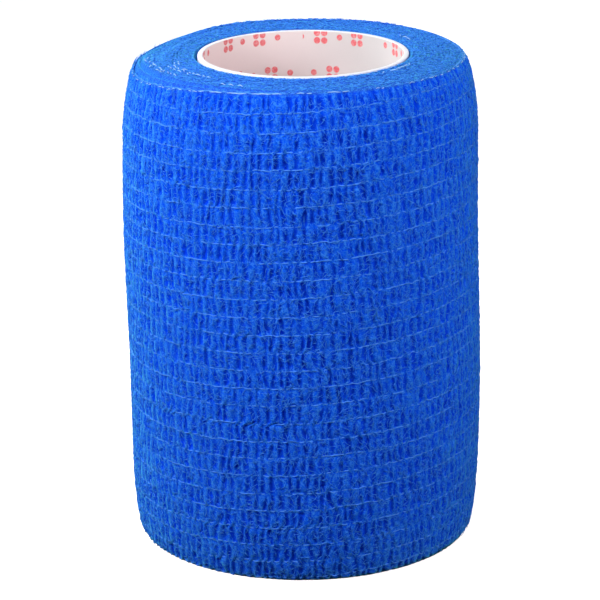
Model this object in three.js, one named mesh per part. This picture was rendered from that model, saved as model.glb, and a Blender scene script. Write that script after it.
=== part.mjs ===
// A roll of crinkled elastic bandage, wound on a paper core tube and standing on end.
// Lengths are in millimetres and angles in degrees, with +Z up. The origin is the middle of the base.
// The roll's front faces -Y. An angle "from the front" grows towards +X.

import * as THREE from "three";

// The strip and its winding
const STRIP_WIDTH = 75;
const ROLL_RADIUS = 26.9;
const TURNS = 17;
const BASE_FLARE = 0.1;

// The core tube, which stands a little to one side of the middle of the wound cloth
const CORE_RADIUS = 15.9;
const CORE_WALL = 0.8;
const CORE_OFFSET = 0.3;
const SEAT_GAP = 0.3;

// Both ends draw in where the outer turns curl over the edge
const BASE_SHOULDER = { inset: 1.5, rise: 12.3 };
const TOP_SHOULDER = { inset: 2.5, rise: 11.7 };
const SHOULDER_FULLNESS = 1.8;

// The strip's outer end is a straight cut at the back, one layer proud of the turn under it
const CUT_END_FACE = 0.6;

// Places where the side stands proud of an even barrel
const SWELLS = [
  { fromFront: -90, height: 48.4, bulge: 0.5 },
  { fromFront: 90, height: 25.3, bulge: 0.5 },
];
const SWELL_HEIGHT_SPREAD = 16;

// The outer turns were wound a little low at the back left, so the top face dips there
const RIM_DIP = { fromFront: -111, spread: 25, depth: 1.2 };
const DIP_STARTS_AT = 0.45;
const DIP_IS_FULL_AT = 0.75;

// Fineness of the facets
const COLUMNS = 90;
const SHOULDER_STEPS = 5;
const SIDE_STEPS = 5;
const CORE_SEGMENTS = 72;

const FULL_TURN = 360;
const BORE_RADIUS = CORE_RADIUS + SEAT_GAP;

// The strip's thickness: its outer face lies TURNS layers from the bore where the last turn starts, and
// one more at the cut end
const LAYER = (ROLL_RADIUS - BORE_RADIUS) / (TURNS + 0.5);

const SIDE_BOTTOM = BASE_SHOULDER.rise;
const SIDE_TOP = STRIP_WIDTH - TOP_SHOULDER.rise;

const clothMaterial = () => new THREE.MeshStandardMaterial({ color: 0x1f5fdc, roughness: 0.9, metalness: 0 });
const paperMaterial = () => new THREE.MeshStandardMaterial({ color: 0xe6e2e3, roughness: 0.75, metalness: 0 });

const radians = THREE.MathUtils.degToRad;

// The shorter way round between two angles
function angleBetween(a, b) {
  const turned = THREE.MathUtils.euclideanModulo(a - b + FULL_TURN / 2, FULL_TURN);
  return Math.abs(turned - FULL_TURN / 2);
}

// How far the side stands proud at one place
function swell(fromFront, height) {
  let proud = 0;
  for (const place of SWELLS) {
    const facing = Math.max(0, Math.cos(radians(angleBetween(fromFront, place.fromFront))));
    const away = (height - place.height) / SWELL_HEIGHT_SPREAD;
    proud += place.bulge * facing ** 2 * Math.exp(-(away ** 2));
  }
  return proud;
}

// How far the rim of the top face lies below the core's end at one angle
function rimDip(fromFront) {
  const away = angleBetween(fromFront, RIM_DIP.fromFront) / RIM_DIP.spread;
  return RIM_DIP.depth * Math.exp(-(away ** 2));
}

// The radius of the last turn, which grows by one layer from its start to the cut end
function wallRadius(wound, height) {
  const spiral = LAYER * (wound / FULL_TURN - 0.5);
  const flare = BASE_FLARE * (1 - (2 * height) / STRIP_WIDTH);
  return ROLL_RADIUS + spiral + flare + swell(FULL_TURN / 2 - wound, height);
}

// A point of a shoulder's quarter superellipse: 0 is on the end face and 1 on the side wall
function shoulder(size, share) {
  const angle = (share * Math.PI) / 2;
  const power = 2 / SHOULDER_FULLNESS;
  return {
    inset: size.inset * (1 - Math.sin(angle) ** power),
    rise: size.rise * (1 - Math.cos(angle) ** power),
  };
}

// The outline of the wound cloth at one angle, from the base of the bore out, up and back in
function outline(wound) {
  const dip = rimDip(FULL_TURN / 2 - wound);
  const points = [{ radius: BORE_RADIUS, height: 0, centre: CORE_OFFSET }];
  for (let step = 0; step < SHOULDER_STEPS; step += 1) {
    const { inset, rise } = shoulder(BASE_SHOULDER, step / SHOULDER_STEPS);
    points.push({ radius: wallRadius(wound, rise) - inset, height: rise, centre: 0 });
  }
  for (let step = 0; step <= SIDE_STEPS; step += 1) {
    const height = THREE.MathUtils.lerp(SIDE_BOTTOM, SIDE_TOP, step / SIDE_STEPS);
    points.push({ radius: wallRadius(wound, height), height, centre: 0 });
  }
  for (let step = SHOULDER_STEPS - 1; step >= 0; step -= 1) {
    const { inset, rise } = shoulder(TOP_SHOULDER, step / SHOULDER_STEPS);
    const lowered = dip * (1 - rise / TOP_SHOULDER.rise);
    const height = STRIP_WIDTH - rise;
    points.push({ radius: wallRadius(wound, height) - inset, height: height - lowered, centre: 0 });
  }
  const rim = wallRadius(wound, STRIP_WIDTH) - TOP_SHOULDER.inset;
  for (const [share, lowered] of [[DIP_IS_FULL_AT, dip], [DIP_STARTS_AT, 0]]) {
    const radius = THREE.MathUtils.lerp(BORE_RADIUS, rim, share);
    points.push({ radius, height: STRIP_WIDTH - lowered, centre: CORE_OFFSET * (1 - share) });
  }
  points.push({ radius: BORE_RADIUS, height: STRIP_WIDTH, centre: CORE_OFFSET });
  return points;
}

// The last turn starts at the back and is wound past +X, the front and -X to its cut end at the back
function windingAngles() {
  const angles = [];
  for (let column = 0; column < COLUMNS; column += 1) {
    angles.push((column * FULL_TURN) / COLUMNS);
  }
  angles.push(FULL_TURN - CUT_END_FACE);
  return angles;
}

// One closed skin over the outlines, joined round the roll and round each outline
function bandageRoll() {
  const rings = windingAngles().map((wound) => ({ wound, points: outline(wound) }));
  const rows = rings[0].points.length;
  const positions = [];
  const triangles = [];
  rings.forEach(({ wound, points }, column) => {
    for (const { radius, height, centre } of points) {
      const x = centre + radius * Math.sin(radians(wound));
      positions.push(x, radius * Math.cos(radians(wound)), height);
    }
    const next = (column + 1) % rings.length;
    for (let row = 0; row < rows; row += 1) {
      const above = (row + 1) % rows;
      const near = [column * rows + row, column * rows + above];
      const far = [next * rows + row, next * rows + above];
      triangles.push(near[0], near[1], far[1]);
      triangles.push(near[0], far[1], far[0]);
    }
  });
  const geometry = new THREE.BufferGeometry();
  geometry.setAttribute("position", new THREE.Float32BufferAttribute(positions, 3));
  geometry.setIndex(triangles);
  geometry.computeVertexNormals();
  const mesh = new THREE.Mesh(geometry, clothMaterial());
  mesh.name = "bandage_roll";
  return mesh;
}

// A plain tube as long as the strip is wide, flush with the cloth at both ends
function coreTube() {
  const inner = CORE_RADIUS - CORE_WALL;
  const section = [
    new THREE.Vector2(inner, 0),
    new THREE.Vector2(CORE_RADIUS, 0),
    new THREE.Vector2(CORE_RADIUS, STRIP_WIDTH),
    new THREE.Vector2(inner, STRIP_WIDTH),
    new THREE.Vector2(inner, 0),
  ];
  const mesh = new THREE.Mesh(new THREE.LatheGeometry(section, CORE_SEGMENTS), paperMaterial());
  mesh.name = "core_tube";
  mesh.rotation.x = Math.PI / 2;
  mesh.position.x = CORE_OFFSET;
  return mesh;
}

const roll = new THREE.Group();
roll.add(bandageRoll(), coreTube());

export default roll;
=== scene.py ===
"""A roll of crinkled elastic bandage wound on a paper core tube, standing on end on a pale floor.

The strip is wound turn by turn round the core of the fixed frame. Its last turn shows on the side, and the
edges of all its turns show on both ends. Lengths are in metres, but the tables and the defaults of the
settings are written in millimetres. An angle "from the front" is in degrees and grows towards +X.
"""

import math
from collections import namedtuple

import bpy
import numpy as np
from bpy.props import FloatProperty, FloatVectorProperty, IntProperty, PointerProperty
from bpy.types import Operator, Panel, PropertyGroup
from mathutils import Matrix, Vector


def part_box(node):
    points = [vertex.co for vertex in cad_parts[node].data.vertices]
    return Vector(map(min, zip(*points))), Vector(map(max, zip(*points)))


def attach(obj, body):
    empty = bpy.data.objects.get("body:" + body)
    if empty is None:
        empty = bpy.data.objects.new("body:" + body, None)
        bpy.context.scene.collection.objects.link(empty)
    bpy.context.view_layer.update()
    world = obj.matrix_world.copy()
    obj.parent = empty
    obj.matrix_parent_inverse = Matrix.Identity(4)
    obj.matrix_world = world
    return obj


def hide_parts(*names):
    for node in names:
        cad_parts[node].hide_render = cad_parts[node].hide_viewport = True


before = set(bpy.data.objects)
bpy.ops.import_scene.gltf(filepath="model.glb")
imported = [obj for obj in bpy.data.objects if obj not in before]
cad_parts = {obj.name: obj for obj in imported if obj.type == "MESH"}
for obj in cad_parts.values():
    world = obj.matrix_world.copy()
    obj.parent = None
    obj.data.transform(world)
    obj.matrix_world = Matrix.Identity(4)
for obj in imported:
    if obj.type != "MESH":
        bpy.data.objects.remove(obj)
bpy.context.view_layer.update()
CLOTH_NODE = "bandage_roll"
CORE_NODE = "core_tube"
CLOTH_LOW, CLOTH_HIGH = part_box(CLOTH_NODE)
CORE_LOW, CORE_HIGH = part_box(CORE_NODE)

bl_info = {
    "name": "Elastic bandage roll",
    "version": (1, 0, 0),
    "blender": (4, 5, 0),
    "location": "3D View > Sidebar > Bandage",
    "description": "Winds a crinkled elastic bandage on its core and sets up the studio",
    "category": "Add Mesh",
}

MM = 0.001
FULL_TURN = 360.0
CORE_RADIUS = (CORE_HIGH.y - CORE_LOW.y) / 2
UPWARD = np.array([0.0, 0.0, 1.0])
TUBE_SIDES = 4


def table(columns, *rows):
    """Rows with named columns. Their angles are in degrees and their lengths in millimetres."""
    row = namedtuple("Row", columns)
    return [row(*values) for values in rows]


# How far the last turn's top edge lies below the top plane, round the roll
TOP_EDGE = table(
    "from_front drop",
    (-180, 0.30),
    (-140, 0.90),
    (-111, 1.70),
    (-75, 1.75),
    (-60, 1.55),
    (-48, 1.10),
    (-36, 0.65),
    (-20, 0.42),
    (0, 0.14),
    (45, 0.16),
    (90, 0.10),
    (135, 0.15),
)

# How much wider and higher than the CAD's rim the outer turns' top edges stand, round the roll
TOP_RIM = table(
    "from_front wider higher",
    (-180, 0.30, 0.08),
    (-150, 0.50, 0.18),
    (-128, -0.10, -0.10),
    (-105, -0.40, -0.05),
    (-80, -0.25, 0.00),
    (-45, 0.00, 0.00),
    (45, 0.00, 0.00),
    (80, 0.20, -0.12),
    (110, -0.35, -0.20),
    (130, 0.05, 0.00),
    (150, 0.45, 0.18),
)

# Lengths of edge thread that show on the top face, by their distance from the roll's middle. "stray" is how
# far they leave it, and "shown" is the share of their dashes that is laid
EDGE_THREADS = table(
    "from_front to_front radius stray shown",
    (116, 128, 18.6, 0.3, 0.9),
    (40, 64, 17.9, 0.4, 0.8),
    (-93, -60, 22.9, 0.4, 0.6),
    (-88, -62, 23.5, 0.2, 0.45),
    (-80, -66, 19.2, 0.4, 0.6),
    (-78, -60, 19.8, 0.5, 0.6),
    (-76, -54, 20.4, 0.3, 0.6),
    (-72, -52, 21.1, 0.5, 0.5),
    (-54, -40, 20.5, 0.2, 0.8),
    (-62, -50, 22.9, 0.5, 0.5),
    (-32, -24, 22.6, 0.3, 0.7),
    (-50, -42, 16.9, 0.1, 0.5),
)

# Lengths of pale thread along the last turn's top edge. "below" is how far they lie under it, or in from it
# where it is negative, and "dash" is the longest dash, in degrees
LAST_EDGE = table(
    "from_front to_front below stray dash shown",
    (-95, -60, 0.15, 0.10, 2.5, 0.55),
    (-60, -36, 0.10, 0.06, 2.5, 0.35),
    (-32, -11, 0.05, 0.02, 9.0, 1.0),
    (-38, -14, -0.35, 0.03, 6.0, 0.7),
    (-10, 16, 0.05, 0.03, 5.0, 0.6),
    (24, 60, 0.10, 0.05, 2.5, 0.45),
    (60, 105, 0.10, 0.08, 2.0, 0.65),
    (105, 178, 0.25, 0.06, 2.5, 0.12),
    (-176, -100, 0.25, 0.06, 2.5, 0.12),
)

# The studio's square lamps, which all face the roll. StudioSettings holds the power of each
LIGHTS = table(
    "name x y z size",
    ("side", -260, -100, 220, 150),
    ("near", -120, -100, 150, 60),
    ("rim", -120, 100, 160, 80),
    ("front", -50, -200, 280, 150),
    ("fill", 180, -100, 120, 100),
    ("back", 150, 420, 220, 300),
)


def whole(name, about, default):
    return IntProperty(name=name, description=about, default=default)


def number(name, about, default, **more):
    return FloatProperty(name=name, description=about, default=default, **more)


def length(name, about, millimetres):
    return number(name, about, millimetres * MM, subtype="DISTANCE", unit="LENGTH", precision=6)


def angle(name, about, degrees):
    return number(name, about, math.radians(degrees), subtype="ANGLE", unit="ROTATION")


def power(name, about, watts):
    return number(name, about, watts, unit="POWER")


def colour(name, about, rgb):
    return FloatVectorProperty(name=name, description=about, default=rgb, subtype="COLOR", size=3,
                               min=0.0, max=1.0)


class WindingSizes(PropertyGroup):
    """The strip and how it is wound."""

    turns: whole("Turns", "Turns of the strip on the core", 17)
    flare: length("Base flare", "How much wider the base is than half height", 0.1)
    seat_gap: length("Seat gap", "Gap between the core and the innermost turn", 0.08)
    slack: length("Slack", "Room between two turns", 0.03)
    base_inset: length("Base inset", "How far the base edge draws in", 1.28)
    base_rise: length("Base shoulder", "Height over which the base edge draws in", 12.3)
    top_inset: length("Top inset", "How far the top edge draws in", 2.5)
    top_rise: length("Top shoulder", "Height over which the top edge draws in", 11.7)
    fullness: number("Shoulder fullness", "Power of the shoulders' curve", 1.8)
    cut_end: angle("Cut end", "Angle from the back to the strip's cut end", 0.6)
    tucked: angle("Tucked start", "How far the last turn starts under its end", 6.0)
    swell: length("Swell", "How far the side's two fullest places stand proud", 0.5)
    swell_spread: length("Swell spread", "Height over which a swell dies away", 16)
    left_swell: length("Left swell height", "Height of the fullest place on the left", 48.4)
    right_swell: length("Right swell height", "Height of the fullest place on the right", 25.3)
    dip: length("Rim dip", "Depth of the rim's lowest place", 1.2)
    dip_from_front: angle("Rim dip place", "Angle from the front of the rim's lowest place", -111.0)
    dip_spread: angle("Rim dip spread", "Angle over which the dip dies away", 25.0)


class CrinkleSizes(PropertyGroup):
    """The small folds that the elastic threads gather the cloth into."""

    fold_pitch: length("Fold pitch", "Mean distance between two small folds", 1.27)
    row_pitch: length("Thread pitch", "Distance between two elastic threads", 2.75)
    first_row: length("First thread", "Height of the lowest thread at the front", 0.7)
    row_tilt: length("Thread tilt", "How far the threads climb to the right", 1.3)
    crease: length("Crease depth", "Depth of a full crease below the cloth's face", 0.34)
    crease_width: length("Crease half width", "Half the width of a crease's floor", 0.26)
    bank_width: length("Bank width", "Width of a crease's sloping side", 0.24)
    ridge: length("Ridge height", "How far the cloth puffs up between two creases", 0.11)
    pinch: length("Pinch", "How far a thread draws the cloth in", 0.12)
    lumps: length("Lumps", "Unevenness of the cloth's face from point to point", 0.03)
    swells: length("Soft swells", "Unevenness of the cloth's face over several folds", 0.02)
    sunk: length("Sunk face", "How far the folds lie inside the outline", 0.10)
    nestle: length("Nestling", "How far the turns wander together at the ends", 0.13)
    tufts: length("Tufts", "Unevenness of the cut edges on the top face", 0.05)
    thread: length("Thread thickness", "Diameter of an elastic thread", 0.19)
    fibre: length("Fibre thickness", "Diameter of a loose fibre", 0.09)
    fibres: whole("Fibres", "Loose fibres on the cloth", 30000)
    seed: whole("Seed", "Seed of everything uneven", 7)


class ClothColours(PropertyGroup):
    """Colours of the cloth."""

    ridge: colour("Ridge colour", "Cloth on top of the small folds", (0.003, 0.106, 0.93))
    # Painted shade: the cloth's colour deep in a crease, darker and more saturated to stand in for the
    # crease's shadow
    crease_shade: colour("Crease colour", "Cloth deep in a crease", (0.0, 0.048, 0.88))
    # The ends' colour: a paler, fluffier tone, dimmed as painted shade to offset the strong lamp light on the
    # top face
    edge: colour("Edge colour", "Fluffy edges of the turns on both ends", (0.020, 0.082, 0.66))
    thread: colour("Thread colour", "Elastic thread under its thin web", (0.08, 0.29, 1.0))
    # Pale fibres; the cloth's material also paints them on its ridges, partly as painted highlights where
    # fibres catch the light
    fibre: colour("Fibre colour", "Loose fibres standing on the cloth", (0.044, 0.265, 1.0))
    frayed: colour("Frayed edge colour", "Bare thread and fluff on the top edges", (0.42, 0.66, 1.0))


class CoreSizes(PropertyGroup):
    """The paper core tube and its colours."""

    wall: length("Core wall", "Thickness of the core's wall", 0.8)
    rim_round: length("Rim rounding", "Radius of the core's soft paper edges", 0.14)
    paper: colour("Paper colour", "Rim and outside of the core", (0.84, 0.86, 0.92))
    # Painted shade: the inside is dull grey on its +X side, which the lamps on the left light most, and runs
    # to a pinker, lighter colour on its -X side
    inside: colour("Inside colour", "Inside of the core", (0.575, 0.56, 0.565))
    pink_lit_side: colour("Tinged colour", "Pinker side of the core's inside", (0.93, 0.735, 0.745))
    ink: colour("Ink colour", "Print inside the core", (0.78, 0.10, 0.12))
    mark: length("Mark size", "Height of the printed marks", 2.4)
    mark_pitch: length("Mark pitch", "Distance between two printed marks", 3.2)
    line_pitch: length("Line pitch", "Distance between two printed lines", 5.7)
    line_drop: length("Line drop", "How far the printed lines are moved down", 2.85)


class StudioSettings(PropertyGroup):
    """The camera, the lights and the floor."""

    elevation: angle("Camera elevation", "How far the camera looks down", 17.94)
    roll: angle("Camera roll", "Turn of the camera about its view", -0.691)
    distance: length("Camera distance", "From the camera to the roll's middle", 442.9)
    focal: number("Focal length", "Lens of the camera", 171.9, subtype="DISTANCE_CAMERA")
    aim_x: length("Aim sideways", "Where the camera aims, from the roll's middle", -0.62)
    aim_up: length("Aim up", "Where the camera aims, above half height", -1.58)
    side_power: power("Side light", "Power of the light at the front left", 0.52)
    near_power: power("Near light", "Power of the small near light at the front left", 0.14)
    rim_power: power("Rim light", "Power of the near light at the back left", 0.25)
    front_power: power("Front light", "Power of the near light above the front", 0.29)
    fill_power: power("Fill light", "Power of the near light at the right", 0.28)
    back_power: power("Back light", "Power of the light behind", 0.4)
    sky: number("Sky light", "Strength of the light from all round", 0.03)
    floor: colour("Floor colour", "Pale studio floor", (0.93, 0.93, 0.94))
    floor_glow: number("Floor glow", "How much the floor lights itself", 0.75)


SETTINGS = {
    "bandage_winding": WindingSizes,
    "bandage_crinkle": CrinkleSizes,
    "bandage_colours": ClothColours,
    "bandage_core": CoreSizes,
    "bandage_studio": StudioSettings,
}


def smooth_step(low, high, value):
    t = np.clip((value - low) / (high - low), 0.0, 1.0)
    return t * t * (3.0 - 2.0 * t)


def angle_between(a, b):
    """The shorter way round between two angles, in degrees."""
    return np.abs((a - b + FULL_TURN / 2) % FULL_TURN - FULL_TURN / 2)


def read_round(rows, column, front):
    """One column of a table at an angle from the front, in metres, softened between its rows."""
    places = [row.from_front for row in rows]
    values = [getattr(row, column) for row in rows]
    asides = (-8, -4, 0, 4, 8)
    total = sum(np.interp(front + aside, places, values, period=FULL_TURN) for aside in asides)
    return total / len(asides) * MM


def ripple(x, y, wave, seed):
    """A smooth uneven surface of about unit height whose bumps are a wave apart."""
    random = np.random.default_rng(seed)
    total = 0.0
    count = 14
    for _ in range(count):
        way = random.uniform(0, 2 * math.pi)
        pull = 2 * math.pi / (wave * random.uniform(0.7, 1.4))
        start = random.uniform(0, 2 * math.pi)
        total = total + np.sin(pull * (math.cos(way) * x + math.sin(way) * y) + start)
    return total * math.sqrt(2 / count)


def ramble(random, count, step):
    """An uneven line of values of about unit size that change every few points."""
    knots = random.normal(0.0, 1.0, int(count / step) + 3)
    return np.interp(np.arange(count) / step, np.arange(len(knots)), knots)


class Winding:
    """Where any place of the strip lies. A place is a turn, counted from the core, and a height.

    The outer face of turn 1 starts at the back, one layer from the bore. Each turn runs past +X, the front
    and -X back to the back.
    """

    def __init__(self, sizes):
        self.sizes = sizes
        self.turns = sizes.turns
        self.width = CLOTH_HIGH.z
        self.core_x = (CORE_LOW.x + CORE_HIGH.x) / 2
        self.bore = CORE_RADIUS + sizes.seat_gap
        flare_there = sizes.flare * (1 - 2 * sizes.base_rise / self.width)
        self.radius = -CLOTH_LOW.y - flare_there
        # The roll's outline is measured in front, half a turn before the last turn ends
        self.layers = self.turns + 0.5
        self.layer = (self.radius - self.bore) / self.layers
        self.last_start = self.turns - math.degrees(sizes.tucked) / FULL_TURN
        self.last_end = self.turns + 1 - math.degrees(sizes.cut_end) / FULL_TURN

    def from_front(self, turn):
        return FULL_TURN / 2 - FULL_TURN * (turn % 1.0)

    def end_inset(self, inset, rise, above):
        """How far a shoulder draws in at a height above its end face."""
        fullness = self.sizes.fullness
        reach = np.clip(1 - above / rise, 0.0, 1.0)
        return inset * (1 - (1 - reach**fullness) ** (1 / fullness))

    def swell(self, front, height):
        """How far the side stands proud round its fullest places, on the left and on the right."""
        s = self.sizes
        proud = 0.0
        for place, at in ((-90.0, s.left_swell), (90.0, s.right_swell)):
            facing = np.maximum(0.0, np.cos(np.radians(front - place)))
            proud = proud + s.swell * facing**2 * np.exp(-(((height - at) / s.swell_spread) ** 2))
        return proud

    def rim_dip(self, turn, front):
        """How far a turn's top edge lies low at the rim's dip, which dies away towards the core."""
        s = self.sizes
        away = angle_between(front, math.degrees(s.dip_from_front)) / math.degrees(s.dip_spread)
        outer = smooth_step(0.45, 0.75, turn / self.layers)
        return s.dip * np.exp(-(away**2)) * outer

    def wall(self, front, height):
        """Mean radius of the roll's outside."""
        s = self.sizes
        h = np.clip(height, 0.0, self.width)
        base = self.end_inset(s.base_inset, s.base_rise, h)
        inset = s.top_inset - read_round(TOP_RIM, "wider", front)
        top = self.end_inset(inset, s.top_rise, self.width - h)
        return self.radius + s.flare * (1 - 2 * h / self.width) + self.swell(front, h) - base - top

    def pitch(self, turn, height):
        """Distance from one turn to the next."""
        return (self.wall(self.from_front(turn), height) - self.bore) / self.layers

    def face(self, turn, height):
        """Radius of the strip's outer face."""
        return self.bore + self.pitch(turn, height) * turn

    def top(self, turn):
        """Height of the strip's top edge: level inside, and lower over the outer turns at the rim's dip."""
        front = self.from_front(turn)
        dip = self.rim_dip(turn, front)
        # The turns just under the last one follow its top edge down, but not all the way
        followed = 0.45 * smooth_step(self.turns - 1.6, self.turns, turn)
        low = np.maximum(read_round(TOP_EDGE, "drop", front) - dip, 0.0)
        higher = read_round(TOP_RIM, "higher", front) * smooth_step(0.5, 0.9, turn / self.layers)
        return self.width - dip + higher - low * followed

    def place(self, turn, height, lift=0.0, up=0.0):
        """Points on the strip's outer face, lifted along its normal and then raised."""
        step = 0.1 * MM
        low = np.clip(height - step, 0.0, self.width - 2 * step)
        slope = (self.face(turn, low + 2 * step) - self.face(turn, low)) / (2 * step)
        out = 1 / np.sqrt(1 + slope**2)
        radius = self.face(turn, height) + lift * out
        z = height - lift * slope * out + up
        wound = np.radians(FULL_TURN * (turn % 1.0))
        centre = self.core_x * (1 - turn / self.layers)
        x = centre + radius * np.sin(wound)
        return np.stack(np.broadcast_arrays(x, radius * np.cos(wound), z), axis=-1)


def mesh_piece(name, points, faces, flat_faces=()):
    """A smooth mesh object with its place in its mesh."""
    mesh = bpy.data.meshes.new(name)
    mesh.from_pydata(np.asarray(points).reshape(-1, 3).tolist(), [], faces)
    mesh.polygons.foreach_set("use_smooth", [True] * len(mesh.polygons))
    for face in flat_faces:
        mesh.polygons[face].use_smooth = False
    piece = bpy.data.objects.new(name, mesh)
    bpy.context.scene.collection.objects.link(piece)
    return piece


def ring_faces(columns, rows, first=0):
    """Quads between columns of closed rings of points, with a cap at each end."""
    faces = []
    for column in range(columns - 1):
        near = first + column * rows
        far = near + rows
        for row in range(rows):
            above = (row + 1) % rows
            faces.append((near + row, far + row, far + above, near + above))
    faces.append(tuple(range(first, first + rows)))
    last = first + (columns - 1) * rows
    faces.append(tuple(range(last + rows - 1, last - 1, -1)))
    return faces


def wound_piece(name, points, fold, on_edge):
    """A length of the strip, from the rings of points of its sections.

    Its material reads "fold", the height of the folds in millimetres, and paints low folds darker as painted
    shade. It also reads "edge", which is 1 at the points of a section that lie on a cut edge.
    """
    columns, rows = points.shape[:2]
    points[..., 2] = np.maximum(points[..., 2], 0.0)
    piece = mesh_piece(name, points, ring_faces(columns, rows), flat_faces=(-1, -2))
    edge = np.zeros((columns, rows))
    edge[:, on_edge] = 1.0
    for key, values in (("fold", fold), ("edge", edge)):
        layer = piece.data.attributes.new(key, "FLOAT", "POINT")
        layer.data.foreach_set("value", np.asarray(values, np.float32).ravel())
    return piece


class Crinkles:
    """The last turn's small folds, drawn fold by fold for each band between two elastic threads.

    A band's mesh rows stand at steps, which are shares of the way up it. PARTS points cross a fold, and its
    shape changes at KNOTS places on its way up.
    """

    PARTS = 4
    KNOTS = 6
    STEPS = (0.0, 0.14, 0.32, 0.5, 0.68, 0.86)
    BASE_STEPS = (0.0, 0.5)
    TOP_STEPS = (0.0, 0.2, 0.42, 0.64, 0.84)

    def __init__(self, sizes, winding):
        self.sizes = sizes
        self.winding = winding
        around = 2 * math.pi * winding.radius
        self.folds = round(around * (winding.last_end - winding.last_start) / sizes.fold_pitch)
        self.span = (winding.last_end - winding.last_start) / self.folds
        self.bands = round((winding.width - sizes.first_row) / sizes.row_pitch) + 1
        self.draw_folds(np.random.default_rng(sizes.seed))

    def patches(self, random, across, up):
        """Soft uneven patches, from -1 to 1, over the folds and bands."""
        grid = random.normal(size=(self.folds + across, self.bands + up))
        grid = sum(np.roll(grid, shift, axis=0) for shift in range(across))
        grid = sum(np.roll(grid, shift, axis=1) for shift in range(up))
        grid = grid[: self.folds, : self.bands]
        return np.tanh(grid / grid.std())

    def draw_folds(self, random):
        """Draws the place, depth and shape of the fold of every band, and of the crease before it.

        "at" is a crease's place and "slant" its lean, in folds from an even count. "runs_on" tells whether it
        crosses the thread under it. It is deepest at "deepest" of the way up, and shallow past "extent".
        """
        shape = (self.folds, self.bands)
        ahead = np.cumsum(random.uniform(-0.36, 0.36, shape), axis=0)
        trend = sum(np.roll(ahead, shift, axis=0) for shift in range(-4, 5)) / 9
        to_end = np.minimum(np.arange(self.folds), self.folds - 1 - np.arange(self.folds))[:, None]
        out_of_step = random.uniform(-0.45, 0.45, self.bands)
        self.at = (np.clip(ahead - trend, -0.5, 0.5) + out_of_step) * np.clip((to_end - 4) / 4, 0.0, 1.0)
        self.runs_on = random.random(shape) < 0.05
        self.slant = random.normal(0.0, 0.2, shape)
        flat = self.patches(random, 4, 2)
        depth = random.choice([0.4, 0.75, 1.0, 1.3], p=[0.18, 0.27, 0.35, 0.2], size=shape)
        self.depth = np.clip(depth * random.uniform(0.85, 1.15, shape) * (1 + 0.18 * flat), 0.05, 1.5)
        self.breadth = random.uniform(0.6, 1.4, shape) * (0.5 + 0.55 * np.clip(self.depth, 0, 1.3))
        self.deepest = random.uniform(0.3, 0.7, shape)
        self.extent = random.uniform(0.4, 1.1, shape)
        knots = (*shape, self.KNOTS)
        self.share = random.uniform(0.7, 1.15, knots)
        self.wander = random.normal(0.0, 0.05, knots)
        self.puff = random.uniform(0.2, 1.5, knots)
        self.lean = random.uniform(0.3, 1.0, knots)

    def row_height(self, row, front):
        """Height of a thread row. Row 0 is the base edge and the last is the top edge."""
        s = self.sizes
        low = s.first_row + s.row_tilt * np.sin(np.radians(front))
        least_pitch = 0.12 * MM
        height = np.maximum(low + (row - 1) * s.row_pitch, least_pitch * row)
        top = self.winding.width - read_round(TOP_EDGE, "drop", front)
        height = np.where(row >= self.bands, top, height)
        return np.where(row == 0, 0.0, height)

    def mesh_rows(self):
        """Each row of the mesh as its band and its share of the way up that band."""
        rows = [(0, step) for step in self.BASE_STEPS]
        for band in range(1, self.bands - 1):
            rows += [(band, step) for step in self.STEPS]
        rows += [(self.bands - 1, step) for step in self.TOP_STEPS]
        return rows + [(self.bands, 0.0)]

    @staticmethod
    def roundness(up):
        """How full a fold is at a share of the way up its band: flat at a thread, and full half way."""
        return math.sin(math.pi * (0.1 + 0.8 * up)) if up > 0 else 0.0

    def crease_row(self, band, up):
        """Place, depth, breadth, ridge height and ridge lean of every fold at one mesh row."""
        here, under = min(band, self.bands - 1), max(band - 1, 0)
        if up > 0:
            knot = min(int(up * self.KNOTS), self.KNOTS - 1)
            leant = self.slant[:, here] * (up - 0.5) + self.wander[:, here, knot]
            at = self.at[:, here] + np.clip(leant, -0.3, 0.3)
            full = self.roundness(up)
            oval = np.exp(-(((up - self.deepest[:, here]) / self.extent[:, here]) ** 2))
            depth = self.depth[:, here] * self.share[:, here, knot] * oval * (0.4 + 0.6 * full)
            puff = self.puff[:, here, knot] * full
            return at, depth, self.breadth[:, here] * (0.6 + 0.4 * oval), puff, self.lean[:, here, knot]
        above = self.at[:, here] - self.slant[:, here] / 2
        below = self.at[:, under] + self.slant[:, under] / 2
        shallow = np.minimum(self.depth[:, here], self.depth[:, under])
        depth = shallow * np.where(self.runs_on[:, here], 0.5, 0.0)
        breadth = (self.breadth[:, here] + self.breadth[:, under]) / 3
        puff = 0.2 * (self.puff[:, here, 0] + self.puff[:, under, -1])
        return (above + below) / 2, depth, breadth, puff, self.lean[:, here, 0]

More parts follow.
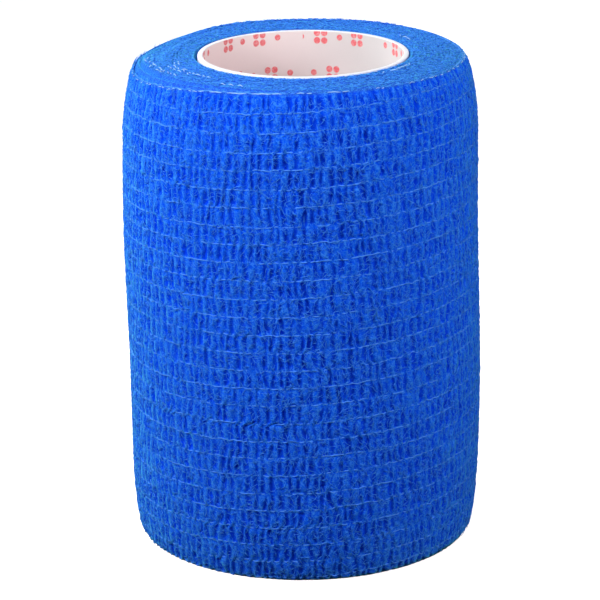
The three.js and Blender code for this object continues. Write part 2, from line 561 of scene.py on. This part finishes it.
    def face(self):
        """Turn, height, fold and lift of every point of the last turn's outer face, by column and row."""
        s = self.sizes
        crease_share, bank_share = 0.3, 0.33
        per_fold = 1 / (2 * math.pi * self.winding.radius * self.span)
        rows = self.mesh_rows()
        turn = np.zeros((self.folds * self.PARTS, len(rows)))
        height = np.zeros_like(turn)
        fold = np.zeros_like(turn)
        for row, (band, up) in enumerate(rows):
            at, depth, breadth, puff, lean = self.crease_row(band, up)
            centre = np.sort(np.arange(self.folds) + 0.5 + at)
            apart = np.diff(centre, prepend=-0.5, append=self.folds + 0.5)
            room = np.minimum(apart[:-1], apart[1:])
            floor = np.minimum(s.crease_width * per_fold * breadth, crease_share * room)
            right = centre + floor
            ahead = np.append((centre - floor)[1:], self.folds + 0.2)
            bank = np.minimum(s.bank_width * per_fold, bank_share * (ahead - right))
            places = np.stack([centre - floor, right, right + bank, ahead - bank], axis=-1)
            deep = s.crease * depth
            bulge = s.ridge * puff
            fold[:, row] = np.stack([-deep, -deep, bulge, bulge * lean], axis=-1).ravel()
            turn[:, row] = self.winding.last_start + self.span * places.ravel()
            front = self.winding.from_front(turn[:, row])
            low = self.row_height(band, front)
            high = self.row_height(min(band + 1, self.bands), front)
            height[:, row] = low + (high - low) * up
        drawn_in = np.array([s.pinch * (1 - self.roundness(up)) for _, up in rows])
        return turn, height, fold, fold - drawn_in


def wind_last_turn(winding, sizes):
    """The strip's last turn: a crinkled outer face, a top and a foot lip, and a plain inner face."""
    crinkles = Crinkles(sizes, winding)
    turn, height, fold, lift = crinkles.face()
    random = np.random.default_rng(sizes.seed + 1)
    round_way = 2 * math.pi * winding.radius * turn
    soft = sizes.swells * ripple(round_way, height, 6 * MM, sizes.seed + 9)
    lift = lift + soft + random.normal(0.0, sizes.lumps, turn.shape) - sizes.sunk
    # At its covered start and at its end the turn is pressed in, and its folds die away over "fade" turns
    fade = 0.003
    pressed = 0.14 * MM
    covered = 1 - smooth_step(-fade, fade, turn - winding.turns)
    near_end = smooth_step(0.0, fade, winding.last_end - turn)
    lift = lift * (1 - covered) * (0.3 + 0.7 * near_end) - (covered + 0.5 * (1 - near_end)) * pressed
    for row, share in ((0, 0.5), (-2, 0.6), (-1, 0.12)):
        lift[:, row] *= share
    ends = [np.full(turn.shape[1], end) for end in (winding.last_start, winding.last_end)]
    plain = np.full(turn.shape[1], -0.2 * MM)
    turn = np.vstack([ends[0], turn, ends[1]])
    height = np.vstack([height[0], height, height[-1]])
    lift = np.vstack([plain, lift, plain])
    fold = np.vstack([0 * plain, fold, 0 * plain])
    outside = winding.place(turn, height, lift)
    foot_lane, top_lane, top = turn[:, 0], turn[:, -1], height[:, -1]
    thick = winding.layer - winding.sizes.slack
    thin = 0.75 * thick
    rest = [
        winding.place(top_lane, top, -0.30 * thin, up=0.07 * MM),
        winding.place(top_lane, top, -0.75 * thin, up=0.03 * MM),
        winding.place(top_lane, top - 0.25 * MM, -thin),
        winding.place(top_lane, top - 1.2 * MM, -thick),
        winding.place(top_lane, top - 3.5 * MM, -thick),
    ]
    rest += [winding.place(foot_lane, part * winding.width, -thick) for part in (0.84, 0.5, 0.16, 0.04, 0.01)]
    rest.append(winding.place(foot_lane, 0.0, -0.7 * thick, up=0.02 * MM))
    rest.append(winding.place(foot_lane, 0.0, -0.3 * thick))
    points = np.concatenate([outside, np.stack(rest, axis=1)], axis=1)
    rows = turn.shape[1]
    shade = np.zeros(points.shape[:2])
    shade[:, :rows] = fold / MM
    return wound_piece("last_turn", points, shade, on_edge=slice(rows - 1, rows + 3))


def wind_inner_turns(winding, sizes):
    """The turns under the last one. Their faces are hidden, and their uneven edges show on both ends."""
    random = np.random.default_rng(sizes.seed + 2)
    parts = 3
    places = []
    at = 1.0
    while at < winding.last_start:
        around = 2 * math.pi * winding.face(at, winding.width)
        fold = sizes.fold_pitch * random.uniform(0.7, 1.3) / around
        places += [at + fold * part / parts for part in range(parts)]
        at += fold
    turn = np.array([place for place in places if place < winding.last_start] + [winding.last_start])
    count = len(turn)
    fold = np.arange(count) // parts
    swing = np.array([1.0, -0.35, -0.65])[np.arange(count) % parts]
    wave = swing * random.uniform(0.2, 1.0, fold.max() + 1)[fold]
    largest_sway = 0.06 * MM
    sway = largest_sway * wave
    uneven = (0.015 * random.normal(size=count) + 0.03 * ramble(random, count, 40)) * MM
    top = winding.top(turn) + uneven
    foot = np.clip(random.normal(0.04, 0.03, count), 0.0, 0.1) * MM
    half = winding.width / 2
    tip = 0.08 * MM
    ring = []

    def add(height, share_in, up=0.0, swayed=1.0):
        """One point of the strip's section: share_in is 0 on its outer face and 1 on its inner face."""
        thick = winding.pitch(turn, height) * share_in
        ring.append(winding.place(turn, height, swayed * sway - thick, up=up))

    add(foot + tip, 0.93)
    add(foot, 0.70)
    add(foot, 0.26)
    add(foot + tip, 0.03)
    add(3.0 * MM, 0.03, swayed=0.5)
    add(0.16 * winding.width, 0.03, swayed=0.0)
    add(0.84 * winding.width, 0.03, swayed=0.0)
    add(top - 3.5 * MM, 0.03, swayed=0.6)
    add(top - 1.2 * MM, 0.03)
    add(top - tip, 0.04)
    add(top, 0.24, up=-0.01 * MM)
    add(top, 0.72, up=-0.01 * MM)
    add(top - tip, 0.93)
    add(0.84 * winding.width, 0.96, swayed=0.0)
    add(0.16 * winding.width, 0.96, swayed=0.0)
    points = np.stack(ring, axis=1)
    x, y, z = points[..., 0], points[..., 1], points[..., 2]
    near_end = smooth_step(half - 2.5 * MM, half - 0.3 * MM, np.abs(z - half))
    inside = 1 - smooth_step(winding.turns - 2.0, winding.turns - 1.0, turn)[:, None]
    by_core = 1 - smooth_step(1.0, 3.5, turn)[:, None]
    move = sizes.nestle * near_end * inside * (1 - by_core)
    seed = sizes.seed + 5
    dx = move * ripple(x, y, 1.5 * MM, seed)
    dy = move * ripple(x, y, 1.5 * MM, seed + 1)
    dz = sizes.tufts * near_end * inside * ripple(x, y, 1.1 * MM, seed + 2) * (z > half)
    dz = dz * (1 - by_core) - 0.06 * MM * by_core * near_end * (z > half)
    points = np.stack([x + dx, y + dy, z + dz], axis=-1)
    foot_and_top = [0, 1, 2, 3, 9, 10, 11, 12]
    # The tufts' heights go into fold, so the material paints the lower tufts and the turns by the core
    # darker, as painted shade
    return wound_piece("inner_turns", points, 0.05 + 0.8 * dz / MM, on_edge=foot_and_top)


def tube_along(points, radius, outward=UPWARD):
    """Points of one tube with narrowed ends along a line of points."""
    along = np.gradient(points, axis=0)
    along /= np.linalg.norm(along, axis=1, keepdims=True)
    side = np.cross(along, outward)
    side /= np.linalg.norm(side, axis=1, keepdims=True)
    up = np.cross(side, along)
    radii = np.full(len(points), radius)
    radii[[0, -1]] *= 0.5
    turned = 2 * math.pi * np.arange(TUBE_SIDES) / TUBE_SIDES
    spoke = np.cos(turned)[None, :, None] * side[:, None] + np.sin(turned)[None, :, None] * up[:, None]
    return (points[:, None] + radii[:, None, None] * spoke).reshape(-1, 3)


def join_tubes(name, tubes):
    faces, first = [], 0
    for tube in tubes:
        faces += ring_faces(len(tube) // TUBE_SIDES, TUBE_SIDES, first)
        first += len(tube)
    return mesh_piece(name, np.vstack(tubes), faces)


def lay_threads(winding, sizes):
    """One elastic thread for each row, proud of the folds between creases and sunk where a crease crosses."""
    crinkles = Crinkles(sizes, winding)
    random = np.random.default_rng(sizes.seed + 3)
    tubes = []
    for row in range(1, crinkles.bands + 1):
        under = row - 1
        creases = np.arange(crinkles.folds) + 0.5 + crinkles.at[:, under] + crinkles.slant[:, under] / 2
        creases = np.sort(creases)
        places = np.sort(np.concatenate([creases, (creases[:-1] + creases[1:]) / 2]))
        count = len(places)
        at_crease, between = -0.19, 0.04
        proud = np.where(np.arange(count) % 2 == 0, at_crease, between)
        proud = proud + 0.05 * random.normal(size=count) + 0.05 * ramble(random, count, 5)
        lift = np.clip(proud, -0.35, 0.08) * MM - sizes.sunk
        turn = winding.last_start + crinkles.span * places
        keep = turn > winding.turns + 0.002
        turn, lift = turn[keep], lift[keep]
        front = winding.from_front(turn)
        wobble = 0.075 * random.normal(size=len(turn)) + 0.08 * ramble(random, len(turn), 25)
        height = crinkles.row_height(row, front) + wobble * MM
        height = np.clip(height, 0.1 * MM, winding.width)
        line = winding.place(turn, height, lift - 0.5 * sizes.pinch)
        wound = np.radians(FULL_TURN * turn)
        outward = np.stack([np.sin(wound), np.cos(wound), 0 * wound], axis=-1)
        tubes.append(tube_along(line, sizes.thread / 2, outward))
    return join_tubes("elastic_threads", tubes)


def fray_edges(winding, sizes):
    """Pale ends of thread and fluff along the top edges, most of them on the last turn."""
    random = np.random.default_rng(sizes.seed + 6)
    tubes = []
    for thread in EDGE_THREADS:
        tubes += edge_thread(thread, winding, sizes, random)
    for thread in LAST_EDGE:
        at = float(thread.from_front)
        while at < thread.to_front:
            reach = thread.dash * random.uniform(0.3, 1.0)
            if random.random() < thread.shown:
                count = max(3, int(reach) + 1)
                front = np.linspace(at, at + reach, count)
                turn = winding.turns + (FULL_TURN / 2 - front) / FULL_TURN
                below = (thread.below + thread.stray * random.normal(size=count)) * MM
                height = winding.width - read_round(TOP_EDGE, "drop", front) - np.maximum(below, 0.0)
                inward = np.minimum(below, 0.0)
                lift = random.uniform(-0.03, 0.02, count) * MM - 0.3 * sizes.sunk + inward
                line = winding.place(turn, height, lift, up=0.03 * MM)
                tubes.append(tube_along(line, 0.36 * sizes.thread))
            at += reach + random.uniform(0.1, 0.25) * thread.dash
    return join_tubes("frayed_edges", tubes)


def edge_thread(thread, winding, sizes, random):
    """Short dashes of one turn's edge thread on the top face."""
    tubes = []
    radius, stray = thread.radius * MM, thread.stray * MM
    step = math.degrees(1.0 * MM / radius)
    at = float(thread.from_front)
    drift = 0.0
    while at < thread.to_front:
        reach = step * random.uniform(0.4, 1.2)
        drift = 0.6 * drift + 0.6 * random.normal() * stray * 0.4
        if random.random() < thread.shown:
            front = np.linspace(at, at + reach, 3)
            away = radius + drift + random.normal() * stray * np.array([-0.6, 0.1, 0.6])
            share_out = (away - winding.bore) / (winding.wall(at, winding.width) - winding.bore)
            turn = winding.layers * share_out
            top = winding.width - winding.rim_dip(turn, front)
            bow = np.array([-0.06, 0.05, -0.06]) * MM
            x = winding.core_x * (1 - share_out) + away * np.sin(np.radians(front))
            y = -away * np.cos(np.radians(front))
            line = np.stack([x, y, top + bow + 0.06 * MM], axis=-1)
            tubes.append(tube_along(line, 0.45 * sizes.thread))
        at += reach + step * random.uniform(0.1, 0.5)
    return tubes


def raise_fibres(winding, sizes):
    """Loose fibres that stand a little proud of the cloth, each a thin pointed sliver."""
    random = np.random.default_rng(sizes.seed + 4)
    top_share = 0.14
    on_top = int(sizes.fibres * top_share)
    side = sizes.fibres - on_top
    stations = np.array([-1.0, 0.0, 1.0])
    arch = 1 - stations**2
    turn = winding.turns + random.random((side, 1))
    height = random.uniform(0.3 * MM, winding.width - 1.2 * MM, (side, 1))
    lean = random.uniform(0, math.pi, (side, 1))
    reach = random.uniform(0.3, 1.0, (side, 1)) * MM
    bow = random.normal(0.0, 0.25, (side, 1))
    across = reach * np.cos(lean)
    climb = reach * np.sin(lean)
    per_turn = 2 * math.pi * winding.radius
    t = turn + (stations * across - bow * climb * arch) / per_turn
    h = np.clip(height + stations * climb + bow * across * arch, 0.05 * MM, winding.width - 0.6 * MM)
    proud = random.uniform(0.0, 0.10, (side, 1)) * MM * arch
    lines = winding.place(t, h, proud - sizes.sunk + 0.02 * MM)
    turn = random.uniform(1.2, winding.turns - 0.6, on_top)
    lean = random.uniform(0, math.pi, (on_top, 1))
    reach = random.uniform(0.3, 0.9, (on_top, 1)) * MM
    middle = winding.place(turn, winding.width)
    x = middle[:, :1] + stations * reach * np.cos(lean)
    y = middle[:, 1:2] + stations * reach * np.sin(lean)
    z = winding.top(turn)[:, None] + (random.uniform(0.02, 0.12, (on_top, 1)) * arch - 0.05) * MM
    lines = np.vstack([lines, np.stack([x, y, z], axis=-1)])
    return slivers("loose_fibres", lines, sizes.fibre / 2)


def slivers(name, lines, radius):
    """Three-sided slivers through three stations, pointed at both ends."""
    count = len(lines)
    along = lines[:, 2] - lines[:, 0]
    along /= np.linalg.norm(along, axis=1, keepdims=True)
    upright = np.abs(along[:, 2:3]) > 0.8
    helper = np.where(upright, np.array([1.0, 0.0, 0.0]), UPWARD)
    side = np.cross(along, helper)
    side /= np.linalg.norm(side, axis=1, keepdims=True)
    up = np.cross(side, along)
    points = np.zeros((count, 5, 3))
    points[:, 0] = lines[:, 0]
    points[:, 4] = lines[:, 2]
    pattern = []
    for corner in range(3):
        turned = 2 * math.pi * corner / 3
        spoke = math.cos(turned) * side + math.sin(turned) * up
        points[:, 1 + corner] = lines[:, 1] + radius * spoke
        after = (corner + 1) % 3
        pattern.append((0, 1 + after, 1 + corner))
        pattern.append((4, 1 + corner, 1 + after))
    faces = [tuple(5 * sliver + corner for corner in face) for sliver in range(count) for face in pattern]
    return mesh_piece(name, points, faces)


def select_nothing():
    if bpy.context.object and bpy.context.object.mode != "OBJECT":
        bpy.ops.object.mode_set(mode="OBJECT")
    bpy.ops.object.select_all(action="DESELECT")


def make_core(winding, core):
    """The core: a cylinder with both ends inset, the insets bridged into a bore, and softened rims."""
    select_nothing()
    bpy.ops.mesh.primitive_cylinder_add(vertices=160, radius=CORE_RADIUS, depth=winding.width,
                                        location=(winding.core_x, 0.0, winding.width / 2))
    piece = bpy.context.object
    piece.name = "core_wall"
    bpy.ops.object.transform_apply(location=True, rotation=True, scale=True)
    bpy.ops.object.mode_set(mode="EDIT")
    bpy.ops.mesh.select_mode(type="FACE")
    bpy.ops.mesh.select_all(action="DESELECT")
    bpy.ops.object.mode_set(mode="OBJECT")
    for face in piece.data.polygons:
        face.select = abs(face.normal.z) > 0.9
    bpy.ops.object.mode_set(mode="EDIT")
    bpy.ops.mesh.inset(thickness=core.wall, use_individual=True)
    bpy.ops.mesh.bridge_edge_loops()
    bpy.ops.object.mode_set(mode="OBJECT")
    rims = piece.modifiers.new("soft rims", "BEVEL")
    rims.width = core.rim_round
    rims.segments = 3
    rims.limit_method = "ANGLE"
    rims.angle_limit = math.radians(60)
    bpy.ops.object.modifier_apply(modifier=rims.name)
    bpy.ops.object.shade_smooth_by_angle(angle=math.radians(40))
    wrap_map(piece, winding)
    return piece


def wrap_map(piece, winding):
    """A map whose first number is the way round the core and whose second is the height, both in metres."""
    mesh = piece.data
    for layer in list(mesh.uv_layers):
        mesh.uv_layers.remove(layer)
    layer = mesh.uv_layers.new(name="wrap")
    for face in mesh.polygons:
        middle = math.atan2(face.center.x - winding.core_x, -face.center.y)
        for corner in face.loop_indices:
            point = mesh.vertices[mesh.loops[corner].vertex_index].co
            turned = math.atan2(point.x - winding.core_x, -point.y)
            turned += 2 * math.pi * round((middle - turned) / (2 * math.pi))
            layer.data[corner].uv = (turned * CORE_RADIUS, point.z)


def darker(rgb, share):
    return tuple(share * part for part in rgb)


class Nodes:
    """Short ways to add nodes to one material."""

    def __init__(self, name):
        self.material = bpy.data.materials.new(name)
        self.material.use_nodes = True
        self.tree = self.material.node_tree
        self.shader = self.tree.nodes["Principled BSDF"]
        self.object = self.add("ShaderNodeTexCoord").outputs["Object"]

    def add(self, kind, settings=None, **inputs):
        node = self.tree.nodes.new(kind)
        for key, value in (settings or {}).items():
            setattr(node, key, value)
        for key, value in inputs.items():
            self.put(node.inputs[key.replace("_", " ")], value)
        return node

    def put(self, socket, value):
        if isinstance(value, bpy.types.NodeSocket):
            self.tree.links.new(value, socket)
        else:
            socket.default_value = value

    def math(self, operation, a, b=0.0):
        node = self.add("ShaderNodeMath", {"operation": operation})
        self.put(node.inputs[0], a)
        self.put(node.inputs[1], b)
        return node.outputs[0]

    def plus(self, a, b):
        return self.math("ADD", a, b)

    def minus(self, a, b):
        return self.math("SUBTRACT", a, b)

    def times(self, a, b):
        return self.math("MULTIPLY", a, b)

    def attribute(self, name):
        return self.add("ShaderNodeAttribute", {"attribute_name": name}).outputs["Fac"]

    def noise(self, size, detail=2.0, roughness=0.5):
        """Noise from 0 to 1 whose grains are about the given size."""
        scaled = self.add("ShaderNodeMapping", Scale=(1 / size,) * 3, Vector=self.object)
        node = self.add("ShaderNodeTexNoise", Scale=1.0, Detail=detail, Roughness=roughness,
                        Vector=scaled.outputs[0])
        return node.outputs["Fac"]

    def spread(self, value, low, high, to_low=0.0, to_high=1.0):
        """The value moved from one range to another, and kept inside it."""
        node = self.add("ShaderNodeMapRange", Value=value, From_Min=low, From_Max=high, To_Min=to_low,
                        To_Max=to_high)
        return node.outputs[0]

    def mix(self, factor, *colours):
        """A mix of two colours, each of them an output or a red, green and blue."""
        node = self.add("ShaderNodeMix", {"data_type": "RGBA"})
        self.put(node.inputs[0], factor)
        for socket, value in zip((6, 7), colours):
            is_output = isinstance(value, bpy.types.NodeSocket)
            self.put(node.inputs[socket], value if is_output else (*value, 1.0))
        return node.outputs[2]

    def bump(self, height, distance, strength):
        return self.add("ShaderNodeBump", Height=height, Distance=distance, Strength=strength).outputs[0]

    def sheen(self, roughness, tint):
        self.shader.inputs["Sheen Weight"].default_value = 1.0
        self.shader.inputs["Sheen Roughness"].default_value = roughness
        self.shader.inputs["Sheen Tint"].default_value = (*tint, 1.0)

    def finish(self, base, roughness, specular, normal=None):
        self.put(self.shader.inputs["Base Color"], base)
        self.shader.inputs["Roughness"].default_value = roughness
        self.shader.inputs["Specular IOR Level"].default_value = specular
        if normal:
            self.put(self.shader.inputs["Normal"], normal)
        return self.material


def cloth_material(colours):
    """Crinkled nonwoven, fluffy and mottled on its folds and edges. Its creases are dark with painted shade,
    and pale fibres, partly painted highlights, lie on its ridges.
    """
    n = Nodes("crinkled_cloth")
    fold = n.attribute("fold")
    edge = n.attribute("edge")
    clump = n.noise(0.7 * MM, detail=1.0)
    grain = n.noise(0.42 * MM, detail=2.0, roughness=0.6)
    fine = n.noise(0.2 * MM, detail=1.0)
    patch = n.noise(6 * MM, detail=2.0)
    # Fold heights in millimetres that take the full painted crease shade and the full ridge colour
    crease_floor, ridge_top = -0.26, 0.16
    raised = n.spread(fold, crease_floor, ridge_top)
    for source, amount in ((clump, 0.20), (grain, 0.36), (fine, 0.42), (patch, 0.08)):
        raised = n.plus(raised, n.spread(source, 0.25, 0.75, -amount, amount))
    raised = n.math("MAXIMUM", n.math("MINIMUM", raised, 1.0), 0.0)
    lit = n.mix(edge, colours.ridge, colours.edge)
    # Painted shade for low places: the crease shade on the side, and the end colour at 0.65 on the ends
    deep = n.mix(edge, colours.crease_shade, darker(colours.edge, 0.65))
    base = n.mix(raised, deep, lit)
    # Pale fibre squiggles, partly painted highlights, shown mostly on the ridges and faded in the creases and
    # on the ends
    strands = 0.0
    for size in (0.62, 0.4):
        squiggle = n.math("ABSOLUTE", n.minus(n.noise(size * MM, detail=1.0), 0.5))
        strands = n.math("MAXIMUM", n.spread(squiggle, 0.015, 0.06, 1.0, 0.0), strands)
    shown = n.times(n.spread(raised, 0.1, 0.8, 0.15, 0.9), n.spread(clump, 0.35, 0.6, 0.3, 1.0))
    shown = n.times(shown, n.spread(edge, 0.0, 1.0, 1.0, 0.35))
    base = n.mix(n.times(strands, shown), base, colours.fibre)
    n.sheen(0.4, (0.12, 0.75, 1.0))
    height = n.plus(n.plus(clump, grain), n.times(strands, 0.3))
    return n.finish(base, 0.9, 0.0, n.bump(height, 0.14 * MM, 0.8))


def strand_material(name, tint):
    """Plain matt strands whose colour wavers a little along them."""
    n = Nodes(name)
    waver = n.spread(n.noise(0.5 * MM, detail=1.0), 0.35, 0.65)
    n.sheen(0.5, (0.15, 0.55, 1.0))
    return n.finish(n.mix(waver, darker(tint, 0.85), tint), 0.9, 0.0)


def paper_material(core):
    """Smooth white wound paper, for the core's rim and outside."""
    n = Nodes("core_paper")
    grain = n.noise(0.3 * MM, detail=3.0)
    base = n.mix(n.spread(grain, 0.35, 0.65), darker(core.paper, 0.93), core.paper)
    return n.finish(base, 0.6, 0.25, n.bump(grain, 0.03 * MM, 0.5))


def printed_material(core):
    """The core's inside: pinkish paper with lines of red four-petalled marks and dots, painted grey on its +X
    side as painted shade.
    """
    n = Nodes("core_printed_paper")
    wrap = n.add("ShaderNodeUVMap", {"uv_map": "wrap"}).outputs[0]
    split = n.add("ShaderNodeSeparateXYZ", Vector=wrap)
    round_way, height = split.outputs[0], split.outputs[1]
    half = core.mark / 2
    soft = 0.05 * MM

    def count_off(repeats, pitch):
        """Which repeat a place lies in, and how far it lies from that repeat's middle."""
        whole_repeats = n.math("FLOOR", repeats)
        return whole_repeats, n.times(n.minus(n.minus(repeats, whole_repeats), 0.5), pitch)

    def dot(x, y, radius):
        away = n.math("SQRT", n.plus(n.times(x, x), n.times(y, y)))
        return n.spread(away, radius - soft, radius + soft, 1.0, 0.0)

    lines = n.math("DIVIDE", n.plus(height, core.line_drop), core.line_pitch)
    level, up = count_off(lines, core.line_pitch)
    stagger = 0.37
    marks_along = n.plus(n.math("DIVIDE", round_way, core.mark_pitch), n.times(level, stagger))
    cell, across = count_off(marks_along, core.mark_pitch)
    petal_x = n.minus(n.math("ABSOLUTE", across), half * 0.5)
    petal_y = n.minus(n.math("ABSOLUTE", up), half * 0.5)
    clover_and_dot = (dot(petal_x, petal_y, half * 0.44), dot(across, up, half * 0.4))
    cells_a_round = 5
    counted = n.plus(n.math("ABSOLUTE", cell), n.math("ABSOLUTE", level))
    place_in_round = n.math("MODULO", counted, cells_a_round)
    marks = 0.0
    for place in range(cells_a_round - 1):
        chosen = n.math("COMPARE", place_in_round, place)
        chosen.node.inputs[2].default_value = 0.4
        marks = n.math("MAXIMUM", n.times(chosen, clover_and_dot[place % 2]), marks)
    worn = n.spread(n.noise(0.35 * MM, detail=2.0), 0.3, 0.6, 0.6, 0.95)
    x = n.add("ShaderNodeSeparateXYZ", Vector=n.object).outputs[0]
    # Painted shade across the inside: pinker and lighter at -X, dull grey at +X where the lamps light the
    # inner wall most
    paper = n.mix(n.spread(x, -15 * MM, 12 * MM), core.pink_lit_side, core.inside)
    base = n.mix(n.times(marks, worn), paper, core.ink)
    return n.finish(base, 0.5, 0.3, n.bump(n.noise(0.4 * MM, detail=3.0), 0.02 * MM, 0.5))


def finish_piece(piece, materials, slot, *nodes):
    """States what a piece rides on and the CAD nodes it stands for. Its slot is not used."""
    piece.data.materials.clear()
    for material in materials:
        piece.data.materials.append(material)
    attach(piece, "root")
    if nodes:
        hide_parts(*nodes)


def add_cloth(context, make, material, *nodes):
    """One piece of the strip, from the function that makes it."""
    piece = make(Winding(context.scene.bandage_winding), context.scene.bandage_crinkle)
    finish_piece(piece, [material], "bandage_cloth", *nodes)


class MakeStudio(Operator):
    """Set up the camera, the lights and the floor"""

    bl_idname = "bandage.make_studio"
    bl_label = "Make studio"

    def execute(self, context):
        studio = context.scene.bandage_studio
        target = Vector((studio.aim_x, 0.0, CLOTH_HIGH.z / 2 + studio.aim_up))
        self.add_camera(context, studio, target)
        for lamp in LIGHTS:
            self.add_light(context, lamp, getattr(studio, lamp.name + "_power"), target)
        world = bpy.data.worlds.new("studio")
        world.use_nodes = True
        sky = world.node_tree.nodes["Background"]
        sky.inputs["Color"].default_value = (1.0, 1.0, 1.0, 1.0)
        sky.inputs["Strength"].default_value = studio.sky
        context.scene.world = world
        select_nothing()
        clear_of_core = -0.02 * MM
        bpy.ops.mesh.primitive_plane_add(size=4.0, location=(0.0, 0.0, clear_of_core))
        floor = context.object
        floor.name = "floor"
        n = Nodes("floor_paint")
        n.shader.inputs["Emission Color"].default_value = (1.0, 1.0, 1.0, 1.0)
        n.shader.inputs["Emission Strength"].default_value = studio.floor_glow
        floor.data.materials.append(n.finish((*studio.floor, 1.0), 0.9, 0.05))
        floor.visible_diffuse = False
        context.scene.view_settings.view_transform = "Standard"
        return {"FINISHED"}

    @staticmethod
    def add_camera(context, studio, target):
        lens = bpy.data.cameras.new("camera")
        lens.lens = studio.focal
        lens.sensor_width = 36.0
        lens.clip_start = 0.01
        camera = bpy.data.objects.new("camera", lens)
        context.scene.collection.objects.link(camera)
        tilted = Matrix.Rotation(math.pi / 2 - studio.elevation, 4, "X")
        rolled = Matrix.Rotation(studio.roll, 4, "Z")
        back = Matrix.Translation((0.0, 0.0, studio.distance))
        camera.matrix_world = Matrix.Translation(target) @ tilted @ rolled @ back
        context.scene.camera = camera

    @staticmethod
    def add_light(context, lamp, watts, target):
        light = bpy.data.lights.new(lamp.name + "_light", "AREA")
        light.energy = watts
        light.size = lamp.size * MM
        piece = bpy.data.objects.new(light.name, light)
        piece.visible_camera = False
        context.scene.collection.objects.link(piece)
        place = Vector((lamp.x, lamp.y, lamp.z)) * MM
        turned = (place - target).to_track_quat("Z", "Y").to_matrix().to_4x4()
        piece.matrix_world = Matrix.Translation(place) @ turned


class WindStrip(Operator):
    """Wind the strip's last turn, with its small folds, and the turns under it"""

    bl_idname = "bandage.wind_strip"
    bl_label = "Wind strip"

    def execute(self, context):
        for wind in (wind_last_turn, wind_inner_turns):
            add_cloth(context, wind, cloth_material(context.scene.bandage_colours), CLOTH_NODE)
        return {"FINISHED"}


class LayStrands(Operator):
    """Lay the strip's elastic threads, the frayed thread ends on its top edges and its loose fibres"""

    bl_idname = "bandage.lay_strands"
    bl_label = "Lay strands"

    def execute(self, context):
        colours = context.scene.bandage_colours
        add_cloth(context, lay_threads, strand_material("elastic_thread", colours.thread))
        add_cloth(context, fray_edges, strand_material("frayed_edge", colours.frayed))
        add_cloth(context, raise_fibres, strand_material("loose_fibre", colours.fibre))
        return {"FINISHED"}


class MakeCore(Operator):
    """Make the paper core tube with its soft rims and print"""

    bl_idname = "bandage.make_core"
    bl_label = "Make core tube"

    def execute(self, context):
        winding = Winding(context.scene.bandage_winding)
        core = context.scene.bandage_core
        piece = make_core(winding, core)
        finish_piece(piece, [paper_material(core), printed_material(core)], "core_paper", CORE_NODE)
        bore = CORE_RADIUS - core.wall
        for face in piece.data.polygons:
            away = math.hypot(face.center.x - winding.core_x, face.center.y)
            face.material_index = int(away < bore + 0.02 * MM)
        return {"FINISHED"}


class BandagePanel(Panel):
    """Lists the steps of making the roll"""

    bl_idname = "VIEW3D_PT_bandage_roll"
    bl_label = "Elastic bandage roll"
    bl_space_type = "VIEW_3D"
    bl_region_type = "UI"
    bl_category = "Bandage"

    def draw(self, context):
        for step in STEPS:
            self.layout.operator(step.bl_idname)
        for name, group in SETTINGS.items():
            box = self.layout.box()
            box.label(text=group.__doc__)
            for key in group.__annotations__:
                box.prop(getattr(context.scene, name), key)


STEPS = (MakeStudio, WindStrip, LayStrands, MakeCore)
CLASSES = (*SETTINGS.values(), *STEPS, BandagePanel)


def register():
    for group in CLASSES:
        bpy.utils.register_class(group)
    for name, group in SETTINGS.items():
        setattr(bpy.types.Scene, name, PointerProperty(type=group))


def unregister():
    for name in SETTINGS:
        delattr(bpy.types.Scene, name)
    for group in reversed(CLASSES):
        bpy.utils.unregister_class(group)


def main():
    register()
    for step in STEPS:
        group, name = step.bl_idname.split(".")
        getattr(getattr(bpy.ops, group), name)()


if __name__ == "__main__":
    main()
